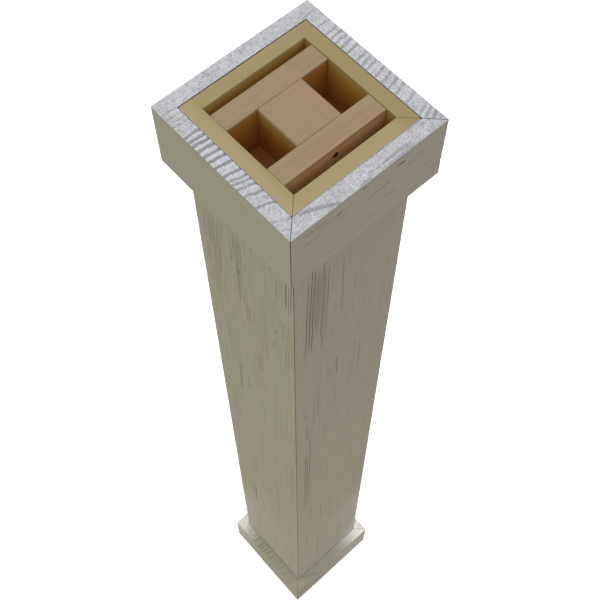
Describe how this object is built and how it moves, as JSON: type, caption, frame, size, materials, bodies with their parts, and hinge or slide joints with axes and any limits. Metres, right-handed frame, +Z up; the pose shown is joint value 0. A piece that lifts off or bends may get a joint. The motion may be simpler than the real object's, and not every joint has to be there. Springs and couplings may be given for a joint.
{
  "type": "square column wrap",
  "caption": "Hollow square column wrap with a limed raised-grain skin, a square collar around each end and an H-shaped wooden mounting block in its top.",
  "frame": {"origin": "centre of the underside, on the vertical axis of the two collars", "axes": "+Z up along the shaft to the capital's top face; -Y is the front, where the mitred closing panels are; +X to the right seen from the front"},
  "size_m": [0.3134, 0.3134, 2.4384],
  "materials": {
    "limed_skin": "moulded foam with a sandblasted wood-grain relief, matt limed grey paint outside, bare khaki foam where cut",
    "block_wood": "planed pale softwood, unfinished"
  },
  "bodies": {
    "root": {"shaft_channel": "limed_skin", "shaft_front_panel": "limed_skin", "capital_channel": "limed_skin", "capital_front_panel": "limed_skin", "base_channel": "limed_skin", "base_front_panel": "limed_skin", "block_board_back": "block_wood", "block_board_front": "block_wood", "block_centre": "block_wood", "block_plate": "block_wood"}
  },
  "joints": []
}
